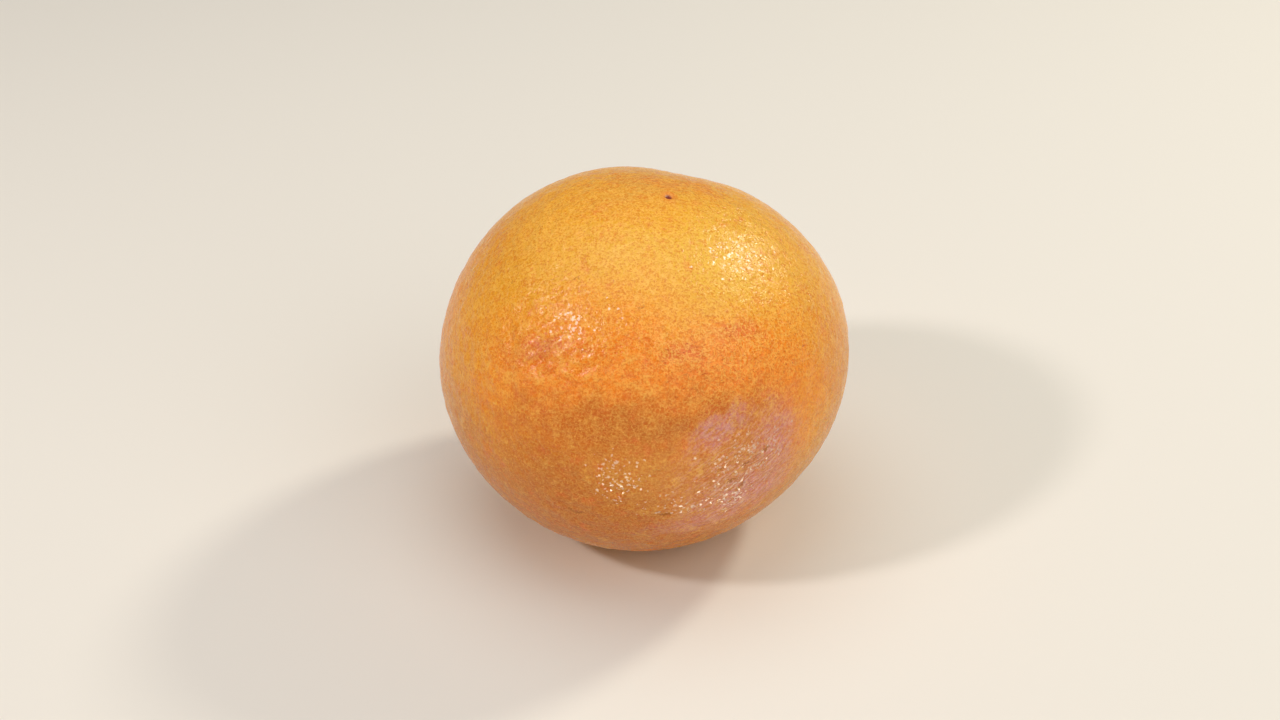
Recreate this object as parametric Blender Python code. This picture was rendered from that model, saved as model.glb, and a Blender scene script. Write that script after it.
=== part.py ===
"""A whole orange resting on its stem end: the pebbled fruit, and the calyx button in the hollow under it.

Metres, +Z up. The origin is on the surface that the fruit stands on, under the middle of the fruit. A direction
on the fruit is given by its turn, in degrees to the right of the front (-Y), and its lift above the equator.
"""

from math import cos, pi, radians, sin, sqrt

import bmesh
import bpy
import numpy as np
from mathutils.kdtree import KDTree

# The body is a slightly flattened ball
HALF_WIDTH = 0.0400
HALF_DEPTH = 0.0393
HALF_HEIGHT = 0.0370
CENTRE_HEIGHT = 0.0342  # of the ball's middle; what would reach under the table is pressed level

# Broad swellings and flats of the body: turn, lift, spread in degrees, height
LUMPS = {
    "back left shoulder": (-128, 48, 34, 0.0011),
    "front right flank": (54, -28, 37, -0.0012),
    "flat behind the scar": (158, 57, 13, -0.0009),
    "right cheek": (100, 22, 30, 0.0007),
    "left cheek": (-92, -10, 22, 0.0005),
    "front dimple": (-24, 12, 16, -0.0004),
    "back flat": (170, -10, 30, -0.0005),
}

# Blossom end, on top
SCAR_TURN = 90
SCAR_LIFT = 83
SCAR_SPREAD = 1.6
SCAR_DEPTH = 0.0005
SCAR_RINGS = ((1.3, 7), (2.6, 10))  # points drawn closer together round the scar: spread in degrees, how many
SCAR_CLEARING = 3.9

# Stem end, underneath
HOLLOW_SPREAD = 12.5
HOLLOW_DEPTH = 0.0055
FURROWS = 6
FURROW_DEPTH = 0.00025
FURROW_LIFT = -72
FURROW_SPREAD = 9.0

# Peel, with fewer and wider pits than the real one
PEEL_POINTS = 5600
PITS = 760
PIT_DEPTH = 0.0005
PIT_RADIUS = 0.0018
PIT_UNEVENNESS = 0.4
PIT_SCATTER = 0.14
SMOOTH_END_SPREAD = 24.0  # round the stem end, where the pits fade away
SMOOTH_SCAR_SPREAD = 5.0
SEED = 11

# Calyx button
BUTTON_GAP = 0.00035
BUTTON_RADIUS = 0.0038
BUTTON_LOBES = 5
LOBE_LENGTH = 0.24  # as a share of the button's radius
LOBE_THICKNESS = 0.0005
STALK_RADIUS = 0.0016
STALK_THICKNESS = 0.0015
STALK_DISH = 0.0004
BUTTON_SIDES = 30
BUTTON_RINGS = 5

PEEL_COLOUR = (0.80, 0.31, 0.045, 1.0)
CALYX_COLOUR = (0.16, 0.13, 0.05, 1.0)
STEM_END = (0.0, 0.0, -1.0)


def clear_scene():
    for thing in list(bpy.data.objects):
        bpy.data.objects.remove(thing, do_unlink=True)


def toward(turn, lift):
    turn = radians(turn)
    lift = radians(lift)
    return np.array((sin(turn) * cos(lift), -cos(turn) * cos(lift), sin(lift)))


def bell(directions, centre, spread):
    """One at the centre direction, falling away smoothly to nothing over the spread in degrees."""
    angle = np.arccos(np.clip(directions @ np.asarray(centre), -1.0, 1.0))
    return np.exp(-((angle / radians(spread)) ** 2))


def body_radius(directions):
    """Distance from the ball's middle to the smooth surface of the fruit, in each direction."""
    axes = np.array((HALF_WIDTH, HALF_DEPTH, HALF_HEIGHT))
    radius = 1.0 / np.linalg.norm(directions / axes, axis=1)
    for turn, lift, spread, height in LUMPS.values():
        radius += height * bell(directions, toward(turn, lift), spread)
    radius -= SCAR_DEPTH * bell(directions, toward(SCAR_TURN, SCAR_LIFT), SCAR_SPREAD)
    radius -= HOLLOW_DEPTH * bell(directions, STEM_END, HOLLOW_SPREAD)
    turn = np.arctan2(directions[:, 1], directions[:, 0])
    lift = np.degrees(np.arcsin(np.clip(directions[:, 2], -1.0, 1.0)))
    near_furrows = np.exp(-(((lift - FURROW_LIFT) / FURROW_SPREAD) ** 2))
    radius += FURROW_DEPTH * near_furrows * (np.cos(FURROWS * turn) - 1.0) / 2.0
    return radius


def even_directions(count, scatter, chance):
    """Directions spread over the whole ball on a golden-angle spiral, each moved a little at random."""
    step = np.arange(count) + 0.5
    height = 1.0 - 2.0 * step / count
    turn = step * pi * (3.0 - sqrt(5.0))
    ring = np.sqrt(1.0 - height**2)
    points = np.stack((ring * np.cos(turn), ring * np.sin(turn), height), axis=1)
    points += chance.normal(scale=scatter * sqrt(4.0 * pi / count), size=points.shape)
    return points / np.linalg.norm(points, axis=1, keepdims=True)


def peel_directions():
    """Evenly spread directions for the peel's points, with the small scar given closer ones of its own."""
    centre = toward(SCAR_TURN, SCAR_LIFT)
    even = even_directions(PEEL_POINTS, 0.0, np.random.default_rng(SEED))
    clear = even @ centre < cos(radians(SCAR_CLEARING))
    right = np.cross(centre, (0.0, 1.0, 0.0))
    right /= np.linalg.norm(right)
    up = np.cross(centre, right)
    near = [centre]
    for spread, count in SCAR_RINGS:
        for turn in np.arange(count) * 2.0 * pi / count:
            side = cos(turn) * right + sin(turn) * up
            near.append(cos(radians(spread)) * centre + sin(radians(spread)) * side)
    return np.concatenate((even[clear], near))


def pit_depth(directions):
    """How far the peel sinks in each direction: a small round pit at each oil gland, some deeper than others."""
    chance = np.random.default_rng(SEED)
    glands = even_directions(PITS, PIT_SCATTER, chance)
    strength = PIT_DEPTH * (1.0 - PIT_UNEVENNESS * chance.random(PITS))
    finder = KDTree(PITS)
    for index, gland in enumerate(glands):
        finder.insert(gland, index)
    finder.balance()
    depth = np.empty(len(directions))
    for place, direction in enumerate(directions):
        _, index, distance = finder.find(direction)
        depth[place] = strength[index] * np.exp(-((distance * HALF_WIDTH / PIT_RADIUS) ** 2))
    scar = toward(SCAR_TURN, SCAR_LIFT)
    depth *= 1.0 - bell(directions, scar, SMOOTH_SCAR_SPREAD)
    return depth * (1.0 - bell(directions, STEM_END, SMOOTH_END_SPREAD))


def to_mesh(name, net):
    bmesh.ops.recalc_face_normals(net, faces=net.faces)
    mesh = bpy.data.meshes.new(name)
    net.to_mesh(mesh)
    net.free()
    return mesh


def principled(name, colour, roughness):
    material = bpy.data.materials.new(name)
    material.use_nodes = True
    shader = material.node_tree.nodes["Principled BSDF"]
    shader.inputs["Base Color"].default_value = colour
    shader.inputs["Roughness"].default_value = roughness
    shader.inputs["Metallic"].default_value = 0.0
    return material


def show(name, mesh, material):
    mesh.materials.append(material)
    mesh.shade_smooth()
    thing = bpy.data.objects.new(name, mesh)
    bpy.context.scene.collection.objects.link(thing)
    return thing


def make_fruit():
    """A ball of even triangles, whose points are then moved in or out to the surface of the fruit."""
    directions = peel_directions()
    points = directions * (body_radius(directions) - pit_depth(directions))[:, None]
    points[:, 2] = np.maximum(points[:, 2] + CENTRE_HEIGHT, 0.0)
    net = bmesh.new()
    corners = [net.verts.new(direction) for direction in directions]
    bmesh.ops.convex_hull(net, input=corners)
    for corner, point in zip(corners, points):
        corner.co = point
    mesh = to_mesh("orange_fruit", net)
    return show("orange_fruit", mesh, principled("orange_peel", PEEL_COLOUR, 0.42))


def button_thickness(share, across):
    """Thin at the tips of the sepals, thick at the cut stalk, whose end is dished."""
    stalk = 1.0 / (1.0 + (across / STALK_RADIUS) ** 6)
    dish = STALK_DISH * np.exp(-((across / (0.5 * STALK_RADIUS)) ** 2))
    sepals = LOBE_THICKNESS * (1.0 + 0.5 * (1.0 - share))
    return sepals + (STALK_THICKNESS - LOBE_THICKNESS) * stalk - dish


def make_button():
    """Rings of points from the middle of the button out to its lobed edge, above and below, closed round the edge."""
    turns = np.arange(BUTTON_SIDES) * 2.0 * pi / BUTTON_SIDES
    reach = BUTTON_RADIUS * (1.0 + LOBE_LENGTH * np.cos(BUTTON_LOBES * turns))
    net = bmesh.new()
    sides = []
    for outer in (True, False):
        rings = []
        for step in range(BUTTON_RINGS + 1):
            share = step / BUTTON_RINGS
            angle = share * reach / (HALF_HEIGHT - HOLLOW_DEPTH)
            directions = np.stack(
                (np.sin(angle) * np.cos(turns), np.sin(angle) * np.sin(turns), -np.cos(angle)), axis=1
            )
            if step == 0:
                directions = directions[:1]
                across = np.zeros(1)
            else:
                across = share * reach
            radius = body_radius(directions) + BUTTON_GAP
            if outer:
                radius += button_thickness(share, across)
            points = directions * radius[:, None] + np.array((0.0, 0.0, CENTRE_HEIGHT))
            rings.append([net.verts.new(point) for point in points])
        sides.append(rings)
    for rings in sides:
        middle = rings[0][0]
        for side in range(BUTTON_SIDES):
            after = (side + 1) % BUTTON_SIDES
            net.faces.new((middle, rings[1][side], rings[1][after]))
            for inner, outer_ring in zip(rings[1:], rings[2:]):
                net.faces.new((inner[side], outer_ring[side], outer_ring[after], inner[after]))
    for side in range(BUTTON_SIDES):
        after = (side + 1) % BUTTON_SIDES
        below, above = sides[0][-1], sides[1][-1]
        net.faces.new((below[side], above[side], above[after], below[after]))
    mesh = to_mesh("calyx_button", net)
    return show("calyx_button", mesh, principled("dry_calyx", CALYX_COLOUR, 0.85))


def stand_over_origin(fruit, pieces):
    """Puts the middle of the fruit's box over the origin."""
    corners = np.array([corner[:] for corner in fruit.bound_box])
    middle = (corners.min(axis=0) + corners.max(axis=0)) / 2.0
    for piece in pieces:
        piece.location = (-middle[0], -middle[1], 0.0)


def main():
    clear_scene()
    fruit = make_fruit()
    button = make_button()
    stand_over_origin(fruit, [fruit, button])


main()
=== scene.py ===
"""A ripe orange standing on its stem end: the fine peel, its marks, and the dry calyx button below.

Metres, +Z up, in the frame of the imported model. A direction on the fruit is given by its turn, in
degrees to the right of the front (-Y), and its lift, in degrees above the equator.
"""

from math import cos, pi, radians, sin, sqrt

import bmesh
import bpy
import numpy as np
from mathutils import Matrix, Vector, noise
from mathutils.kdtree import KDTree


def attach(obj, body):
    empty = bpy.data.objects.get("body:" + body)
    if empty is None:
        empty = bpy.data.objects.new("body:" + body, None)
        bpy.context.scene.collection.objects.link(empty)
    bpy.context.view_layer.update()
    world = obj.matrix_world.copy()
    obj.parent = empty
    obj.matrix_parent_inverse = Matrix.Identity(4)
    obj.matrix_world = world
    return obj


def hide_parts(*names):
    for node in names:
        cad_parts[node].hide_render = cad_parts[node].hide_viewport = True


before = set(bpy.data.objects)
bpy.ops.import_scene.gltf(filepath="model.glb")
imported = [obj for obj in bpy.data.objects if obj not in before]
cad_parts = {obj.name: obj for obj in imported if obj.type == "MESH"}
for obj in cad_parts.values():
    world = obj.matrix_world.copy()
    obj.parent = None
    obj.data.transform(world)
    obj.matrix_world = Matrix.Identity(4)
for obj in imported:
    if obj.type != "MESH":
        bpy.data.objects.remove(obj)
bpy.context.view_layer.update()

# The body, of the same shape as the solid. Each lump has its turn, lift, spread in degrees and height
HALF_WIDTH = 0.0400
HALF_DEPTH = 0.0393
HALF_HEIGHT = 0.0370
CENTRE_HEIGHT = 0.0342
LUMPS = {
    "back left shoulder": (-128, 48, 34, 0.0011),
    "front right flank": (54, -28, 37, -0.0012),
    "flat behind the scar": (158, 57, 13, -0.0009),
    "right cheek": (100, 22, 30, 0.0007),
    "left cheek": (-92, -10, 22, 0.0005),
    "front dimple": (-24, 12, 16, -0.0004),
    "back flat": (170, -10, 30, -0.0005),
}
SCAR = (90, 83)
STEM_END = (0.0, 0.0, -1.0)
HOLLOW_SPREAD = 12.5
HOLLOW_DEPTH = 0.0055
FURROWS = 6
FURROW_DEPTH = 0.00025
FURROW_LIFT = -72
FURROW_SPREAD = 9.0

# The cube that the peel is blown up from, and its texture map
SIDE_CUTS = 128  # squares along each side
CELL_REACH = 0.485  # half a side's cell of the map, less a margin

# Relief of the peel
CALM_SPREAD = 16.0  # round the stem end, where the relief fades away
SEED = 11
DIMPLES = 5600
DIMPLE_DEPTH = 0.00007
DIMPLE_UNEVENNESS = 0.7
DIMPLE_RADIUS = 0.00055
DIMPLE_SCATTER = 0.25
PEBBLE_SIZE = 0.0026
SMALL_PEBBLE_SIZE = 0.55 * PEBBLE_SIZE
SMALL_PEBBLE_SHARE = 0.5
PEBBLE_HEIGHT = 0.00022
PLAIN_PEBBLING = 0.5  # the share of that height away from the coarse places
COARSE_PLACES = ((-40, 28, 24), (10, -10, 30))  # turn, lift and spread in degrees
WRINKLE_SLIMNESS = 0.35  # a wrinkle's width as a share of its length
WRINKLE_CREST = 0.3  # how far crests rise, as a share of the height
SMALL_WRINKLE_SHARE = 0.5
TOO_FAINT = 0.01
SCAR_RADIUS = 0.0009
SCAR_DEPTH = 0.0006
SCAR_RIM_HEIGHT = 0.00015
SCAR_RIM_PLACE = 1.6  # in scar radii, as the next
SCAR_RIM_WIDTH = 0.5

# Wrinkled places: turn, lift, spread in degrees, heading of the wrinkles, their spacing and height
WRINKLES = {
    "lower right": (24, -4, 17, 38, 0.0030, 0.00030),
    "left crease": (-34, 32, 13, 48, 0.0028, 0.00090),
    "lower left": (-19, -13, 9, 10, 0.0032, 0.00030),
}

# Calyx button
BUTTON_GAP = 0.0002
BUTTON_RADIUS = 0.0038
BUTTON_LOBES = 5
BUTTON_SIDES = 120
BUTTON_RINGS = 22
LOBE_LENGTH = 0.24
LOBE_POINT = 0.15
LOBE_THICKNESS = 0.0005
LOBE_SWELL = 0.5  # how much thicker a lobe is at its foot
RIBS_A_LOBE = 3
RIB_HEIGHT = 0.00008
SEPAL_GRAIN_SIZE = 0.0007
SEPAL_GRAIN_HEIGHT = 0.00006
STALK_RADIUS = 0.0016
STALK_STEEPNESS = 8
STALK_THICKNESS = 0.0015
STALK_DISH = 0.0004
STALK_DISH_RADIUS = 0.5 * STALK_RADIUS

# Floor
FLOOR_RADIUS = 4.0
FLOOR_SIDES = 96

# Camera
LENS = 50.0
NEAREST_SEEN = 0.01
CAMERA_LIFT = 35.0
CAMERA_DISTANCE = 0.351
AIM = Vector((-0.0008, -0.0005, 0.0344))


def toward(turn, lift):
    """The direction of a place on the fruit."""
    turn = radians(turn)
    lift = radians(lift)
    return np.array((sin(turn) * cos(lift), -cos(turn) * cos(lift), sin(lift)))


def across(turn, lift):
    """The directions to the right and up along the surface, at a place on the fruit."""
    outward = toward(turn, lift)
    right = np.cross((0.0, 0.0, 1.0), outward)
    right /= np.linalg.norm(right)
    return right, np.cross(outward, right)


def bell(directions, centre, spread):
    """One at the centre direction, falling smoothly to about a third at the spread in degrees."""
    angle = np.arccos(np.clip(directions @ np.asarray(centre), -1.0, 1.0))
    return np.exp(-((angle / radians(spread)) ** 2))


def body_radius(directions):
    """Distance from the fruit's middle to its surface without the fine relief, in each direction."""
    axes = np.array((HALF_WIDTH, HALF_DEPTH, HALF_HEIGHT))
    radius = 1.0 / np.linalg.norm(directions / axes, axis=1)
    for turn, lift, spread, height in LUMPS.values():
        radius += height * bell(directions, toward(turn, lift), spread)
    radius -= HOLLOW_DEPTH * bell(directions, STEM_END, HOLLOW_SPREAD)
    turn = np.arctan2(directions[:, 1], directions[:, 0])
    lift = np.degrees(np.arcsin(np.clip(directions[:, 2], -1.0, 1.0)))
    near_furrows = np.exp(-(((lift - FURROW_LIFT) / FURROW_SPREAD) ** 2))
    radius += FURROW_DEPTH * near_furrows * (np.cos(FURROWS * turn) - 1.0) / 2.0
    return radius


def even_directions(count, scatter, chance):
    """Directions spread over the whole ball on a golden-angle spiral, each moved a little at random."""
    step = np.arange(count) + 0.5
    height = 1.0 - 2.0 * step / count
    turn = step * pi * (3.0 - sqrt(5.0))
    ring = np.sqrt(1.0 - height**2)
    points = np.stack((ring * np.cos(turn), ring * np.sin(turn), height), axis=1)
    points += chance.normal(scale=scatter * sqrt(4.0 * pi / count), size=points.shape)
    return points / np.linalg.norm(points, axis=1, keepdims=True)


def grain(points, size):
    """Smooth noise from about -1 to 1, with lumps of the given size."""
    return np.array([noise.noise(Vector(point)) for point in points / size])


def dimple_relief(directions):
    """Soft round dimples all over the peel, some deeper than others."""
    chance = np.random.default_rng(SEED)
    middles = even_directions(DIMPLES, DIMPLE_SCATTER, chance)
    strength = DIMPLE_DEPTH * (1.0 - DIMPLE_UNEVENNESS * chance.random(DIMPLES))
    finder = KDTree(DIMPLES)
    for index, middle in enumerate(middles):
        finder.insert(middle, index)
    finder.balance()
    found = [finder.find(direction) for direction in directions]
    index = np.array([hit[1] for hit in found])
    distance = np.array([hit[2] for hit in found])
    return -strength[index] * np.exp(-((distance * HALF_WIDTH / DIMPLE_RADIUS) ** 2))


def pebble_relief(directions):
    """Low uneven swellings a few millimetres across, stronger in some places."""
    coarse = sum(bell(directions, toward(turn, lift), spread) for turn, lift, spread in COARSE_PLACES)
    points = directions * HALF_WIDTH
    pebbles = grain(points, PEBBLE_SIZE) + SMALL_PEBBLE_SHARE * grain(points, SMALL_PEBBLE_SIZE)
    return PEBBLE_HEIGHT * (PLAIN_PEBBLING + coarse) * pebbles


def wrinkle_relief(directions):
    """Soft parallel wrinkles in the places where the peel has begun to dry."""
    relief = np.zeros(len(directions))
    for turn, lift, spread, heading, spacing, height in WRINKLES.values():
        near = bell(directions, toward(turn, lift), spread)
        chosen = near > TOO_FAINT
        right, up = across(turn, lift)
        slope = radians(heading)
        crossways = cos(slope) * up - sin(slope) * right
        along = cos(slope) * right + sin(slope) * up
        here = directions[chosen] * HALF_WIDTH
        lengthways = WRINKLE_SLIMNESS * (here @ along)
        stretched = np.stack((here @ crossways, lengthways, np.zeros(len(here))), axis=1)
        waves = grain(stretched, spacing) + SMALL_WRINKLE_SHARE * grain(stretched, 0.5 * spacing)
        relief[chosen] += height * near[chosen] * (WRINKLE_CREST - np.abs(waves))
    return relief


def scar_relief(directions):
    """The dark pit that the flower's style left, with a faint raised rim."""
    gap = np.linalg.norm(directions - toward(*SCAR), axis=1) * HALF_WIDTH / SCAR_RADIUS
    rim = SCAR_RIM_HEIGHT * np.exp(-(((gap - SCAR_RIM_PLACE) / SCAR_RIM_WIDTH) ** 2))
    return rim - SCAR_DEPTH * np.exp(-(gap**2))


def cube_skin(name):
    """A cube whose six sides are cut into even squares, as one closed mesh."""
    net = bmesh.new()
    bmesh.ops.create_cube(net, size=2.0)
    bmesh.ops.subdivide_edges(net, edges=net.edges, cuts=SIDE_CUTS - 1, use_grid_fill=True)
    mesh = bpy.data.meshes.new(name)
    net.to_mesh(mesh)
    net.free()
    return mesh


def places_of(mesh):
    """The places of a mesh's points, one row for each."""
    places = np.empty(len(mesh.vertices) * 3)
    mesh.vertices.foreach_get("co", places)
    return places.reshape(-1, 3)


def lay_out_map(mesh, flat):
    """Gives each side of the cube its own cell of the texture map, three across and two up."""
    corners = np.empty(len(mesh.loops), dtype=np.int32)
    mesh.loops.foreach_get("vertex_index", corners)
    corners = flat[corners].reshape(-1, 4, 3)
    middles = corners.mean(axis=1)
    axis = np.argmax(np.abs(middles), axis=1)
    upper = np.take_along_axis(middles, axis[:, None], axis=1)[:, 0] > 0.0
    spots = np.empty((len(corners), 4, 2))
    for side in range(3):
        others = [other for other in range(3) if other != side]
        for top in (False, True):
            chosen = (axis == side) & (upper == top)
            spots[chosen] = corners[chosen][:, :, others]
            if (side == 1) == top:
                spots[chosen, :, 0] *= -1.0
            spots[chosen] = (spots[chosen] * CELL_REACH + 0.5 + (side, int(top))) / (3.0, 2.0)
    layer = mesh.uv_layers.new(name="OFBake")
    layer.uv.foreach_set("vector", spots.ravel())


def place_piece(name, mesh, material):
    """Puts a mesh of one material into the scene."""
    mesh.materials.append(material)
    piece = bpy.data.objects.new(name, mesh)
    bpy.context.scene.collection.objects.link(piece)
    return piece


def make_peel():
    """A cube's skin blown up into the fruit, with its dimples, swellings, wrinkles and scar."""
    mesh = cube_skin("orange_peel")
    flat = places_of(mesh)
    lay_out_map(mesh, flat)
    directions = np.tan(flat * pi / 4.0)
    directions /= np.linalg.norm(directions, axis=1, keepdims=True)
    relief = dimple_relief(directions) + pebble_relief(directions) + wrinkle_relief(directions)
    relief *= 1.0 - bell(directions, STEM_END, CALM_SPREAD)
    relief += scar_relief(directions)
    points = directions * (body_radius(directions) + relief)[:, None]
    points[:, 2] = np.maximum(points[:, 2] + CENTRE_HEIGHT, 0.0)
    middle = (points.min(axis=0) + points.max(axis=0)) / 2.0
    shift = np.array((-middle[0], -middle[1], 0.0))
    mesh.vertices.foreach_set("co", (points + shift).ravel())
    mesh.update()
    mesh.shade_smooth()
    return place_piece("orange_peel", mesh, peel_material()), shift


def colour(red, green, blue):
    """A colour given in the 0 to 255 of a screen, as the linear one that shaders take."""
    shares = [value / 255.0 for value in (red, green, blue)]
    linear = [share / 12.92 if share <= 0.04045 else ((share + 0.055) / 1.055) ** 2.4 for share in shares]
    return (*linear, 1.0)


class Shading:
    """Builds a material's nodes. Most methods add one node or a few, and give the last one's output."""

    def __init__(self, name):
        self.material = bpy.data.materials.new(name)
        self.material.use_nodes = True
        self.tree = self.material.node_tree
        self.shader = self.tree.nodes["Principled BSDF"]

    def add(self, kind, inputs, output=0, **settings):
        node = self.tree.nodes.new(kind)
        for name, value in settings.items():
            setattr(node, name, value)
        for place, value in inputs.items():
            self.put(node.inputs[place], value)
        return node.outputs[output]

    def put(self, socket, value):
        if isinstance(value, bpy.types.NodeSocket):
            self.tree.links.new(value, socket)
        else:
            socket.default_value = value

    def finish(self, **sockets):
        """Fills the shader's sockets and gives the material."""
        for name, value in sockets.items():
            self.put(self.shader.inputs[name.replace("_", " ")], value)
        return self.material

    def place(self):
        return self.add("ShaderNodeTexCoord", {}, output="Object")

    def math(self, operation, first, second=0.0, third=0.0):
        return self.add("ShaderNodeMath", {0: first, 1: second, 2: third}, operation=operation)

    def vector_math(self, operation, first, second=(0.0, 0.0, 0.0), output="Vector"):
        return self.add("ShaderNodeVectorMath", {0: first, 1: second}, output=output, operation=operation)

    def noise(self, vector, scale, detail=2.0, roughness=0.5, output="Fac"):
        inputs = {"Vector": vector, "Scale": scale, "Detail": detail, "Roughness": roughness}
        return self.add("ShaderNodeTexNoise", inputs, output=output)

    def cells(self, vector, scale, output="Distance", feature="F1"):
        inputs = {"Vector": vector, "Scale": scale}
        return self.add("ShaderNodeTexVoronoi", inputs, output=output, feature=feature)

    def ramp(self, value, low, high, to_low=0.0, to_high=1.0):
        """The value's way from low to high, eased at both ends, as one from to_low to to_high."""
        inputs = {"Value": value, "From Min": low, "From Max": high, "To Min": to_low, "To Max": to_high}
        return self.add("ShaderNodeMapRange", inputs, interpolation_type="SMOOTHSTEP")

    def mix(self, share, first, second):
        inputs = {"Factor": share, "A": first, "B": second}
        node = self.tree.nodes.new("ShaderNodeMix")
        node.data_type = "RGBA"
        for socket in node.inputs:
            if socket.enabled and socket.name in inputs:
                self.put(socket, inputs[socket.name])
        return next(socket for socket in node.outputs if socket.enabled)

    def summed(self, base, parts):
        """The base with each part added, times that part's strength."""
        for part, strength in parts:
            base = self.math("ADD", base, self.math("MULTIPLY", part, strength))
        return base

    def patch(self, vector, turn, lift, width, height, tilt):
        """Coordinates round a place on the fruit, one at each half size in degrees, turned by the tilt."""
        outward = Vector(toward(turn, lift))
        right, up = across(turn, lift)
        axes = Matrix((right, up, outward)).transposed() @ Matrix.Rotation(radians(tilt), 3, "Z")
        inputs = {
            "Vector": vector,
            "Location": outward,
            "Rotation": axes.to_euler(),
            "Scale": (radians(width), radians(height), PATCH_DEPTH),
        }
        return self.add("ShaderNodeMapping", inputs, vector_type="TEXTURE")

    def oval(self, vector, turn, lift, width, height, tilt, soft):
        """A soft-edged oval on the fruit: one inside, nothing outside."""
        spot = self.patch(vector, turn, lift, width, height, tilt)
        distance = self.vector_math("LENGTH", spot, output="Value")
        return self.ramp(distance, 1.0 + soft, 1.0 - soft)

    def strongest(self, vector, ovals):
        """The strongest of several ovals at each place."""
        most = 0.0
        for *oval, strength in ovals:
            here = self.math("MULTIPLY", self.oval(vector, *oval), strength)
            most = self.math("MAXIMUM", most, here)
        return most

    def drift(self, random, reach):
        """Random colours as steps of up to half the reach in every direction."""
        centred = self.vector_math("SUBTRACT", random, (0.5, 0.5, 0.5))
        return self.vector_math("MULTIPLY", centred, (reach, reach, reach))

    def wander(self, vector, base, scale, reach, detail):
        """The base vector, moved about by up to half the reach at random."""
        random = self.noise(vector, scale, detail, BEND_ROUGHNESS, output="Color")
        return self.vector_math("ADD", base, self.drift(random, reach))


# Colours of the peel
GOLDEN = colour(236, 163, 34)
PALE_GOLD = colour(250, 196, 92)
YELLOW = colour(226, 184, 60)
DEEP_ORANGE = colour(246, 128, 24)
RED_ORANGE = colour(222, 100, 40)
TAN = colour(214, 150, 62)
OCHRE = colour(200, 118, 0)
BROWN_ORANGE = colour(182, 90, 14)
GLAND_ORANGE = colour(210, 108, 22)
# Mauve for the painted reflection on the dried skin, paler for the painted highlight on its crests
MAUVE = colour(208, 134, 144)
PAINTED_MAUVE_HIGHLIGHT = colour(244, 196, 190)
STRAW = colour(218, 138, 80)
RUSSET = colour(180, 66, 6)
CRACK_BROWN = colour(172, 96, 8)
SCAR_BROWN = colour(124, 46, 34)
# Cream for the painted glints on the waxy facets
PAINTED_GLINT_CREAM = colour(255, 238, 214)

# Textures of the peel: scales in lumps a metre, or for streaks and dashes in lumps of the size they lie in
BLOTCHES = {"scale": 330.0, "detail": 5.0, "roughness": 0.7}
SWELLINGS = {"scale": 460.0, "detail": 3.0}
LINES = {"scale": 850.0, "detail": 3.0, "roughness": 0.6}
GRAIN = {"scale": 2400.0, "detail": 4.0, "roughness": 0.8}
FINEST_GRAIN = {"scale": 3200.0, "detail": 2.0}
SPECKLES = {"scale": 1250.0, "detail": 4.0, "roughness": 0.75}
STREAKS = {"scale": 1.0, "detail": 4.0, "roughness": 0.6}
DASHES = {"scale": 1.0, "detail": 3.0, "roughness": 0.65}
WAX = {"scale": 420.0, "detail": 4.0}
GLANDS_A_METRE = 1050.0
FACETS_A_METRE = 2500.0

# How edges and cells are bent out of their even shapes
BEND_ROUGHNESS = 0.65
BROAD_DRIFT = {"scale": 110.0, "reach": 0.5, "detail": 5.0}
RAGGED_EDGE = {"scale": 260.0, "reach": 0.22, "detail": 6.0}
GENTLE_BEND = {"scale": 150.0, "reach": 0.08, "detail": 1.0}
CRACK_BEND = {"scale": 1400.0, "reach": 0.05, "detail": 3.0}
GLAND_WARP = {"scale": 1500.0, "reach": 0.0009, "detail": 2.0}
FACET_WARP = {"scale": 2500.0, "reach": 0.0007, "detail": 3.0}

# Measures of the marks
PATCH_DEPTH = 0.6  # half a patch's thickness through the peel, with the fruit's radius as one
LINE_LEVEL = 0.5  # the value of their noise that lines run along
GROOVE_LEVEL = 0.585  # the same for the grooves beside them
FRECKLES_ELSEWHERE = 0.08
FRECKLED_CONTRAST = 0.25  # how much freckled skin adds to the contrast of the lines
FACET_SHARE = 0.22  # the share of facets that are waxy where their place is strongest
FACET_SWAY = 0.1
MATT_ROUGHNESS = 0.25

# Fine relief: its unit in metres, and how many units each part rises or sinks
RELIEF_UNIT = 0.00005
RELIEF = {
    "lines": 0.6,
    "ridges": 0.2,
    "swellings": 4.0,
    "grain": 0.10,
    "crests": 0.7,
    "troughs": -0.7,
    "cracks": -1.0,
}

# Single ovals: turn, lift, half width and half height in degrees, tilt, softness
MATT = (5, 20, 50, 13, 0, 0.5)
# where the swellings carry painted shade in their creases and a painted highlight on their tops
SWOLLEN = (-30, 26, 28, 12, 15, 0.9)
# where the wrinkles carry the painted highlight on their crests and painted shade in their troughs
DRIED = (27, -2, 15, 16, 0, 0.7)
SCAR_STAIN = (*SCAR, 2.6, 2.2, 0, 0.5)
SCAR_SPOT = (*SCAR, 1.25, 0.95, 0, 0.35)

# How streaks and dashes lie: turn, lift, length and width of a lump in degrees, tilt
STREAK_LIE = (28, 2, 3.0, 0.8, 32)
DASH_LIE = (40, 28, 1.6, 0.6, -12)

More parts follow.
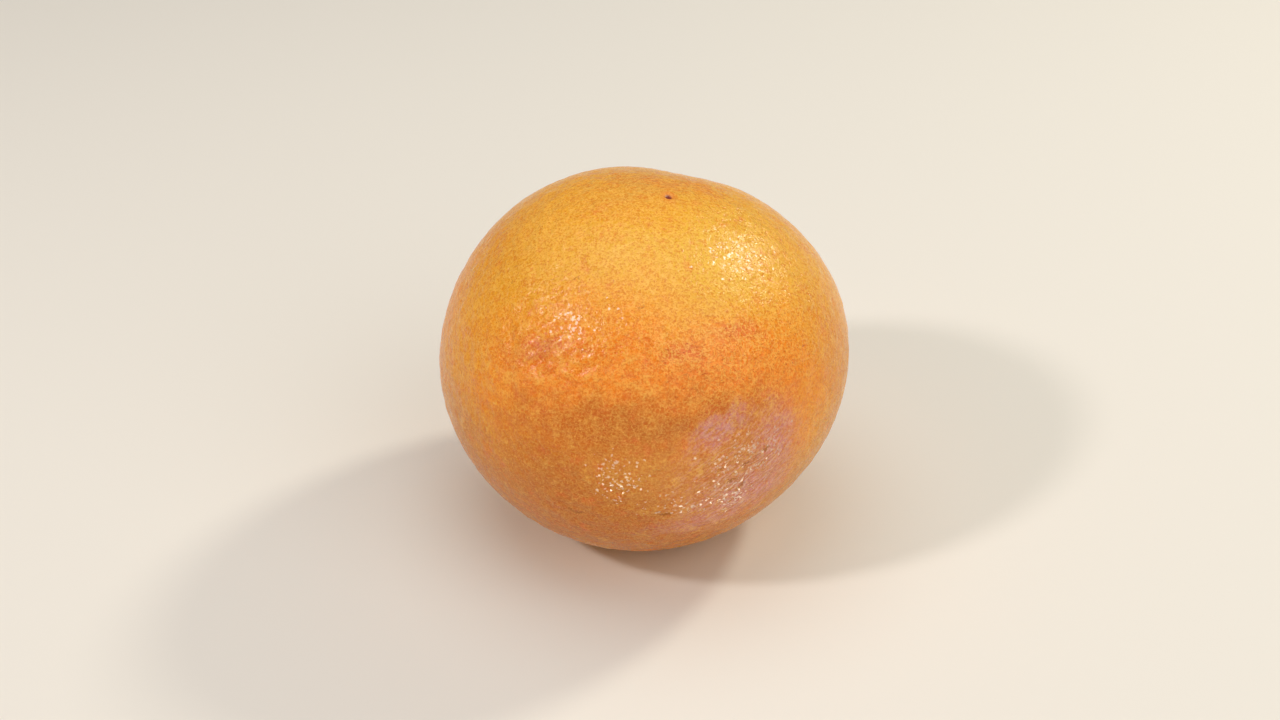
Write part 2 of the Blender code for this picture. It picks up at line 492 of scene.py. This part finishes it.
# Broad coloured zones: the tint, then an oval and its strength
ZONES = (
    (DEEP_ORANGE, 5, 24, 70, 26, 0, 0.6, 0.9),
    (TAN, 170, 78, 16, 16, 0, 0.8, 0.7),
    # partly painted highlight: yellower round the back right highlight
    (YELLOW, 50, 60, 22, 15, 0, 0.9, 0.8),
    (YELLOW, -15, 68, 12, 9, 0, 0.9, 0.4),
    # painted highlight: a faint pale patch on the upper left
    (PALE_GOLD, -62, 58, 14, 9, 0, 0.9, 0.3),
    (PALE_GOLD, 70, 38, 12, 10, 0, 0.9, 0.35),
    (OCHRE, -58, -16, 26, 24, 0, 0.7, 0.95),
    (OCHRE, 72, 10, 12, 24, 0, 0.7, 0.5),
    # darker brown-orange towards the bottom: partly the peel's own colour, partly painted shade
    (BROWN_ORANGE, -14, -8, 30, 20, 0, 0.7, 0.85),
    (BROWN_ORANGE, 6, -30, 50, 16, 0, 0.7, 0.9),
    (BROWN_ORANGE, 2, 17, 30, 7, 0, 0.8, 0.85),
    (BROWN_ORANGE, 24, 21, 12, 4, -10, 0.8, 0.35),
    (DEEP_ORANGE, 135, 8, 34, 22, 20, 0.9, 0.8),
    (YELLOW, 205, 30, 34, 16, -15, 0.9, 0.3),
    (BROWN_ORANGE, 215, -22, 44, 14, 10, 0.9, 0.7),
    (DEEP_ORANGE, 262, 12, 18, 26, 0, 0.9, 0.6),
)

# Smaller patches, in the same form
PATCHES = (
    # painted sheen: a pale patch round the low front glints
    (TAN, -2, 4, 12, 8, 0, 0.9, 0.5),
    # pale straw over the dried lower right, partly painted sheen
    (STRAW, 25, -2, 17, 15, 0, 0.7, 0.9),
    (RED_ORANGE, 13.2, 36.1, 5, 2.4, -15, 0.8, 0.85),
    (RED_ORANGE, 32.4, 38.4, 7, 2.4, -15, 0.8, 0.75),
    (RED_ORANGE, -36, 31, 10, 4, 25, 0.9, 0.6),
    (RED_ORANGE, -20, 36, 6, 2, 10, 0.9, 0.4),
    (RED_ORANGE, 150, 80, 6, 3, 0, 0.9, 0.35),
    (RED_ORANGE, 122, 70, 8, 3, 0, 0.9, 0.35),
)

# Where the dried skin carries the painted mauve reflection in streaks: an oval and its strength
MAUVE_PLACES = (
    (21, 14, 8, 3.2, 25, 0.8, 1.0),
    (39, 4, 6, 11, 0, 0.9, 0.9),
    (31, -10, 12, 8, 10, 0.9, 1.0),
    (20, -18, 14, 4, 8, 0.8, 0.7),
    (-35, 33, 5, 2, 40, 0.9, 0.3),
)

# Where the peel has red-brown freckles, in the same form
FRECKLED = (
    (38, 30, 24, 12, 0, 0.8, 0.85),
    (13, 36, 8, 4, 0, 0.7, 0.9),
    (32, 38, 8, 4, 0, 0.7, 0.9),
    (-35, 33, 12, 6, 20, 0.8, 0.4),
    (-18, 15, 8, 3, 0, 0.8, 0.5),
    (148, 2, 22, 12, 15, 0.9, 0.5),
    (228, 26, 12, 8, -20, 0.9, 0.5),
)

# Short cracks and creases, in the same form
CRACKS = (
    (34.6, 4.0, 1.3, 0.36, 20, 0.6, 0.85),
    (31.6, 2.6, 1.3, 0.24, 40, 0.5, 0.7),
    (28.4, 1.6, 1.4, 0.30, 15, 0.5, 0.9),
    (20.9, 1.8, 1.4, 0.24, 35, 0.5, 0.6),
    (24.0, -3.2, 1.8, 0.28, 10, 0.5, 0.75),
    (27.3, -6.1, 1.6, 0.32, 30, 0.5, 0.8),
    (27.2, -15.0, 1.3, 0.25, 10, 0.5, 0.3),
    (5.6, -12.3, 2.0, 0.28, 3, 0.5, 0.95),
    (-20.6, -13.5, 1.2, 0.32, -35, 0.5, 0.85),
    (-18.6, -14.2, 1.2, 0.32, 30, 0.5, 0.95),
    (13.0, 29.8, 2.2, 0.18, -50, 0.5, 0.3),
    (15.6, 25.6, 2.0, 0.18, -62, 0.5, 0.3),
    (-37.5, 29.5, 2.2, 0.25, 48, 0.5, 0.2),
    (-34.0, 34.0, 1.6, 0.30, 60, 0.5, 0.2),
    (-20.5, 35.6, 1.0, 0.30, -15, 0.5, 0.25),
    (-61.3, 44.0, 0.5, 0.30, 20, 0.5, 0.4),
    (-44.1, 51.1, 0.7, 0.25, 20, 0.5, 0.5),
    (-33.6, 54.2, 0.8, 0.28, 30, 0.5, 0.6),
    (-1.2, 49.1, 1.0, 0.25, 25, 0.5, 0.5),
)

# Small waxy facets: the heading they lean to, how much rougher than the peel, and their places
FACETED = (
    (
        (5.5, 20.4),
        -0.08,
        ((-7, 2, 6, 6, -20, 0.9, 0.85),),
    ),
    (
        (2.2, 21.0),
        -0.08,
        (
            (24, -9, 5.5, 4.5, 0, 0.9, 1.1),
            (28, 3, 10, 7, 20, 0.9, 0.6),
            (12, -9, 10, 4, 0, 0.9, 0.5),
        ),
    ),
    (
        (-30.0, 42.8),
        0.10,
        (
            (-27, 42, 4.5, 4, 30, 0.9, 0.7),
            (-25, 42, 10, 5, 35, 0.9, 0.12),
        ),
    ),
    (
        (55.7, 58.1),
        0.12,
        (
            (52, 57, 6, 5, 0, 0.9, 0.6),
            (50, 56, 11, 6, -10, 0.9, 0.12),
        ),
    ),
)


class Peel(Shading):
    """Peel tinted in layers, from broad zones to the finest marks, each over the ones before it."""

    def __init__(self):
        super().__init__("orange_peel")
        self.skin = GOLDEN
        self.here = self.place()
        centred = self.vector_math("SUBTRACT", self.here, (0.0, 0.0, CENTRE_HEIGHT))
        self.outward = self.vector_math("NORMALIZE", centred)

    def tint(self, share, tint, strength=None):
        """Mixes a tint into the skin by a share, times a strength where one is given."""
        if strength is not None:
            share = self.math("MULTIPLY", share, strength)
        self.skin = self.mix(share, self.skin, tint)

    def lay_zones(self, vector, zones):
        for tint, *oval, strength in zones:
            self.tint(self.oval(vector, *oval), tint, strength)

    def lay_streaks(self, ragged, bent):
        """Dried, wrinkled skin with a painted mauve reflection in slanting streaks, a painted highlight on
        the crests and painted shade in the troughs. Gives the crests and troughs on the lower right.
        """
        streaks = self.noise(self.patch(bent, *STREAK_LIE), **STREAKS)
        # painted reflection: a mauve tint in streaks
        self.tint(self.strongest(ragged, MAUVE_PLACES), MAUVE, self.ramp(streaks, 0.36, 0.56, to_low=0.35))
        dried = self.oval(ragged, *DRIED)
        crests = self.math("MULTIPLY", self.ramp(streaks, 0.50, 0.60), dried)
        troughs = self.math("MULTIPLY", self.ramp(streaks, 0.48, 0.38), dried)
        # painted highlight on the crests and painted shade in the troughs
        self.tint(crests, PAINTED_MAUVE_HIGHLIGHT, 0.5)
        self.tint(troughs, BROWN_ORANGE, 0.5)
        return crests, troughs

    def lay_blotches(self):
        blotches = self.noise(self.here, **BLOTCHES)
        self.tint(self.ramp(blotches, 0.52, 0.72, to_high=0.6), RED_ORANGE)
        self.tint(self.ramp(blotches, 0.46, 0.32, to_high=0.35), PALE_GOLD)

    def lay_swellings(self, swollen):
        """Coarse swellings; on swollen skin, painted shade in their creases, redder, and a painted highlight
        on their tops. Gives their height.
        """
        swellings = self.noise(self.here, **SWELLINGS)
        creases = self.math("MULTIPLY", self.ramp(swellings, 0.47, 0.36), swollen)
        tops = self.math("MULTIPLY", self.ramp(swellings, 0.54, 0.66), swollen)
        # painted shade in the creases, redder, and a painted highlight on the tops
        self.tint(creases, RED_ORANGE, 0.45)
        self.tint(tops, PALE_GOLD, 0.40)
        return swellings

    def glands(self):
        """The middles of the oil glands, a random value for each gland, and the ridges between them."""
        warped = self.wander(self.here, self.here, **GLAND_WARP)
        middles = self.ramp(self.cells(warped, GLANDS_A_METRE), 0.62, 0.15)
        own = self.cells(warped, GLANDS_A_METRE, output="Color")
        own = self.vector_math("DOT_PRODUCT", own, (1.0, 0.0, 0.0), output="Value")
        ridges = self.ramp(self.cells(warped, GLANDS_A_METRE, feature="DISTANCE_TO_EDGE"), 0.16, 0.0)
        return middles, own, ridges

    def wandering_lines(self):
        """How far each place is from the wandering lines, the lines, and the grooves beside them."""
        lie = self.noise(self.here, **LINES)
        from_line = self.math("ABSOLUTE", self.math("SUBTRACT", lie, LINE_LEVEL))
        lines = self.ramp(from_line, 0.055, 0.0)
        from_groove = self.math("ABSOLUTE", self.math("SUBTRACT", lie, GROOVE_LEVEL))
        return from_line, lines, self.ramp(from_groove, 0.035, 0.0)

    def contrast(self, freckled):
        """How strongly the lines are tinted: more towards the top, and on freckled skin."""
        level = self.vector_math("DOT_PRODUCT", self.here, (0.0, 0.0, 1.0), output="Value")
        by_height = self.ramp(level, 0.042, 0.060, 0.14, 0.42)
        return self.math("MULTIPLY_ADD", freckled, FRECKLED_CONTRAST, by_height)

    def lay_grain(self):
        grains = self.noise(self.here, **GRAIN)
        self.tint(self.ramp(grains, 0.52, 0.66, to_high=0.5), PALE_GOLD)
        self.tint(self.ramp(grains, 0.50, 0.34, to_high=0.75), GLAND_ORANGE)

    def lay_freckles(self, bent, freckled):
        """Red-brown freckles, some round and some drawn out into dashes."""
        speckles = self.noise(self.here, **SPECKLES)
        dashes = self.noise(self.patch(bent, *DASH_LIE), **DASHES)
        round_ones = self.ramp(speckles, 0.66, 0.76, to_high=0.6)
        freckles = self.math("MAXIMUM", round_ones, self.ramp(dashes, 0.61, 0.70))
        self.tint(freckles, RUSSET, freckled)

    def lay_facets(self):
        """Small waxy facets, tinted cream as a painted glint. Gives their random colours, and each group's
        heading, roughness and spots.
        """
        warped = self.wander(self.here, self.here, **FACET_WARP)
        random = self.cells(warped, FACETS_A_METRE, output="Color")
        chance = self.vector_math("DOT_PRODUCT", random, (0.0, 1.0, 0.0), output="Value")
        facets = []
        faceted = 0.0
        for heading, rougher, ovals in FACETED:
            share = self.math("MULTIPLY", self.strongest(self.outward, ovals), FACET_SHARE)
            spots = self.math("GREATER_THAN", self.math("ADD", chance, share), 1.0)
            facets.append((heading, rougher, spots))
            faceted = self.math("MAXIMUM", faceted, spots)
        # painted glint: the facets are tinted cream
        self.tint(faceted, PAINTED_GLINT_CREAM, 0.4)
        return random, facets

    def lay_cracks(self):
        cracks = self.strongest(self.wander(self.here, self.outward, **CRACK_BEND), CRACKS)
        self.tint(cracks, CRACK_BROWN)
        return cracks

    def lay_scar(self):
        """The dark scar of the flower's style, in a redder stain."""
        self.tint(self.oval(self.outward, *SCAR_STAIN), RED_ORANGE, 0.4)
        self.tint(self.oval(self.outward, *SCAR_SPOT), SCAR_BROWN)

    def bumped(self, pits, parts):
        """The surface's direction with the fine relief on it: the pits, and the other parts by name."""
        height = self.summed(pits, [(part, RELIEF[name]) for name, part in parts.items()])
        return self.add("ShaderNodeBump", {"Strength": 1.0, "Distance": RELIEF_UNIT, "Height": height})

    def leaning(self, normal, random, facets):
        """The surface's direction with the facets turned to their headings, each a little its own way."""
        sway = self.drift(random, FACET_SWAY)
        for heading, _, spots in facets:
            normal = self.mix(spots, normal, self.vector_math("ADD", sway, toward(*heading)))
        return self.vector_math("NORMALIZE", normal)

    def gloss(self, matt, facets):
        """How rough the surface is: unevenly waxy, duller on matt skin, rougher or smoother on the facets."""
        waxy = self.ramp(self.noise(self.here, **WAX), 0.3, 0.7, 0.16, 0.26)
        rougher_places = [(spots, rougher) for _, rougher, spots in facets]
        return self.summed(waxy, [(matt, MATT_ROUGHNESS), *rougher_places])


def peel_material():
    """Waxy peel: blotched orange, with glands, lines, freckles, cracks and the scar."""
    peel = Peel()
    drifted = peel.wander(peel.here, peel.outward, **BROAD_DRIFT)
    peel.lay_zones(drifted, ZONES)
    matt = peel.oval(drifted, *MATT)
    swollen = peel.oval(drifted, *SWOLLEN)
    ragged = peel.wander(peel.here, peel.outward, **RAGGED_EDGE)
    peel.lay_zones(ragged, PATCHES)
    bent = peel.wander(peel.here, peel.outward, **GENTLE_BEND)
    crests, troughs = peel.lay_streaks(ragged, bent)
    peel.lay_blotches()
    swellings = peel.lay_swellings(swollen)
    middles, own, ridges = peel.glands()
    from_line, lines, grooves = peel.wandering_lines()
    peel.tint(middles, GLAND_ORANGE, peel.ramp(own, 0.0, 1.0, to_high=0.25))
    freckled = peel.math("ADD", peel.strongest(ragged, FRECKLED), FRECKLES_ELSEWHERE)
    contrast = peel.contrast(freckled)
    peel.tint(lines, PALE_GOLD, contrast)
    peel.tint(grooves, GLAND_ORANGE, contrast)
    peel.tint(ridges, PALE_GOLD, 0.20)
    peel.lay_grain()
    peel.lay_freckles(bent, freckled)
    random, facets = peel.lay_facets()
    cracks = peel.lay_cracks()
    peel.lay_scar()
    pits = peel.math("MULTIPLY", middles, peel.ramp(own, 0.0, 1.0, -0.5, -1.0))
    parts = {
        "lines": peel.ramp(from_line, 0.12, 0.0),
        "ridges": ridges,
        "swellings": swellings,
        "grain": peel.noise(peel.here, **FINEST_GRAIN),
        "crests": crests,
        "troughs": troughs,
        "cracks": cracks,
    }
    normal = peel.leaning(peel.bumped(pits, parts), random, facets)
    return peel.finish(
        Base_Color=peel.skin,
        Roughness=peel.gloss(matt, facets),
        Normal=normal,
        Specular_IOR_Level=0.34,
        Subsurface_Weight=0.08,
        Subsurface_Radius=(0.0024, 0.0009, 0.0004),
        Subsurface_Scale=1.0,
    )


def button_thickness(share, reach):
    """Thin at the tips of the sepals, thick at the cut stalk, whose end is dished."""
    stalk = 1.0 / (1.0 + (reach / STALK_RADIUS) ** STALK_STEEPNESS)
    dish = STALK_DISH * np.exp(-((reach / STALK_DISH_RADIUS) ** 2))
    sepals = LOBE_THICKNESS * (1.0 + LOBE_SWELL * (1.0 - share))
    return sepals + (STALK_THICKNESS - LOBE_THICKNESS) * stalk - dish


def button_ring(share, turns, edge, lower):
    """Points on one face of the button, at a share of the way out. At its middle they are one point."""
    angle = share * edge / (HALF_HEIGHT - HOLLOW_DEPTH)
    level = np.sin(angle)
    directions = np.stack((level * np.cos(turns), level * np.sin(turns), -np.cos(angle)), axis=1)
    reach = share * edge
    if share == 0.0:
        directions = directions[:1]
        reach = reach[:1]
    radius = body_radius(directions) + BUTTON_GAP
    if lower:
        thickness = button_thickness(share, reach)
        rough = grain(directions * HALF_WIDTH, SEPAL_GRAIN_SIZE) * SEPAL_GRAIN_HEIGHT
        rib = RIB_HEIGHT * share * np.cos(RIBS_A_LOBE * BUTTON_LOBES * turns[: len(reach)])
        radius += thickness + rough + rib
    return directions * radius[:, None] + np.array((0.0, 0.0, CENTRE_HEIGHT))


def close_button(net, faces):
    """Spans the rings of the button's two faces, each from its middle out, and closes the edge."""
    for rings in faces:
        for side in range(BUTTON_SIDES):
            after = (side + 1) % BUTTON_SIDES
            net.faces.new((rings[0][0], rings[1][side], rings[1][after]))
            for inner, outer in zip(rings[1:], rings[2:]):
                net.faces.new((inner[side], outer[side], outer[after], inner[after]))
    below, above = faces[0][-1], faces[1][-1]
    for side in range(BUTTON_SIDES):
        after = (side + 1) % BUTTON_SIDES
        net.faces.new((below[side], above[side], above[after], below[after]))
    bmesh.ops.recalc_face_normals(net, faces=net.faces)


def make_button(shift):
    """The calyx button: rings of points from its middle out to its lobed edge, below and above."""
    turns = np.arange(BUTTON_SIDES) * 2.0 * pi / BUTTON_SIDES
    lobes = np.cos(BUTTON_LOBES * turns) + LOBE_POINT * np.cos(2 * BUTTON_LOBES * turns)
    edge = BUTTON_RADIUS * (1.0 + LOBE_LENGTH * lobes)
    net = bmesh.new()
    faces = []
    for lower in (True, False):
        rings = []
        for step in range(BUTTON_RINGS + 1):
            points = button_ring(step / BUTTON_RINGS, turns, edge, lower) + shift
            rings.append([net.verts.new(point) for point in points])
        faces.append(rings)
    close_button(net, faces)
    mesh = bpy.data.meshes.new("calyx")
    net.to_mesh(mesh)
    net.free()
    mesh.shade_smooth()
    return place_piece("calyx", mesh, calyx_material())


# Colours and textures of the calyx
SEPAL_GREEN = colour(84, 78, 38)
SEPAL_BROWN = colour(122, 92, 50)
STALK_TAN = colour(168, 138, 92)
FIBRE_DARK = colour(52, 40, 24)
MOTTLE = {"scale": 900.0, "detail": 5.0, "roughness": 0.7}
FIBRES = {"scale": 2600.0, "detail": 4.0, "roughness": 0.7}
FIBRE_HEIGHT = 0.00015


def calyx_material():
    """Dry sepals, green-brown and fibrous, with the paler cut end of the stalk in the middle."""
    calyx = Shading("dry_calyx")
    place = calyx.place()
    mottle = calyx.noise(place, **MOTTLE)
    skin = calyx.mix(calyx.ramp(mottle, 0.35, 0.65), SEPAL_GREEN, SEPAL_BROWN)
    level = calyx.vector_math("MULTIPLY", place, (1.0, 1.0, 0.0))
    from_middle = calyx.vector_math("LENGTH", level, output="Value")
    stalk = calyx.ramp(from_middle, 1.1 * STALK_RADIUS, 0.8 * STALK_RADIUS)
    skin = calyx.mix(stalk, skin, STALK_TAN)
    fibres = calyx.noise(place, **FIBRES)
    skin = calyx.mix(calyx.ramp(fibres, 0.4, 0.7, to_high=0.5), skin, FIBRE_DARK)
    normal = calyx.add("ShaderNodeBump", {"Strength": 0.7, "Distance": FIBRE_HEIGHT, "Height": fibres})
    roughness = calyx.ramp(mottle, 0.3, 0.7, 0.7, 0.9)
    return calyx.finish(Base_Color=skin, Roughness=roughness, Normal=normal)


# Surroundings. Each lamp has its direction from the fruit, distance, size, power and tint
FLOOR_WHITE = colour(228, 223, 213)
ROOM_WHITE = colour(240, 236, 230)
ROOM_BRIGHTNESS = 0.20
LAMPS = {
    "back right light": ((0.644, 0.418, 0.641), 0.8, 0.12, 2.35, (1.0, 0.96, 0.84)),
    "front left light": ((-0.679, -0.32, 0.66), 0.8, 0.085, 2.25, (1.0, 0.93, 0.92)),
    "front right light": (toward(45, 42), 0.8, 0.8, 2.3, (1.0, 1.0, 1.0)),
    "low front light": (toward(8, 2), 0.8, 0.09, 0.6, (1.0, 0.90, 0.68)),
    "top light": ((-0.1, 0.1, 1.0), 1.0, 0.9, 3.5, (1.0, 1.0, 1.0)),
}


def add_floor():
    floor = Shading("pale_floor")
    net = bmesh.new()
    bmesh.ops.create_circle(net, cap_ends=True, segments=FLOOR_SIDES, radius=FLOOR_RADIUS)
    mesh = bpy.data.meshes.new("floor")
    net.to_mesh(mesh)
    net.free()
    place_piece("floor", mesh, floor.finish(Base_Color=FLOOR_WHITE, Roughness=0.9))


def add_lamp(name, direction, distance, size, power, tint):
    """A round lamp that the camera doesn't see, facing the middle of the fruit."""
    data = bpy.data.lights.new(name, "AREA")
    data.shape = "DISK"
    data.size = size
    data.energy = power
    data.color = tint
    light = bpy.data.objects.new(name, data)
    bpy.context.scene.collection.objects.link(light)
    direction = Vector(direction).normalized()
    light.location = Vector((0.0, 0.0, CENTRE_HEIGHT)) + direction * distance
    light.rotation_euler = direction.to_track_quat("Z", "Y").to_euler()
    light.visible_camera = False


def add_room():
    """The faint light of the room from all sides."""
    world = bpy.data.worlds.new("studio")
    bpy.context.scene.world = world
    world.use_nodes = True
    background = world.node_tree.nodes["Background"]
    background.inputs["Color"].default_value = ROOM_WHITE
    background.inputs["Strength"].default_value = ROOM_BRIGHTNESS


def add_camera():
    data = bpy.data.cameras.new("camera")
    data.lens = LENS
    data.clip_start = NEAREST_SEEN
    camera = bpy.data.objects.new("camera", data)
    bpy.context.scene.collection.objects.link(camera)
    away = Vector(toward(0, CAMERA_LIFT))
    camera.location = AIM + away * CAMERA_DISTANCE
    camera.rotation_euler = away.to_track_quat("Z", "Y").to_euler()
    bpy.context.scene.camera = camera


add_camera()
add_floor()
for lamp, settings in LAMPS.items():
    add_lamp(lamp, *settings)
add_room()
bpy.context.scene.view_settings.view_transform = "Standard"
peel, fruit_shift = make_peel()
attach(peel, "root")
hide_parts("orange_fruit")
calyx = make_button(fruit_shift)
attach(calyx, "root")
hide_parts("calyx_button")
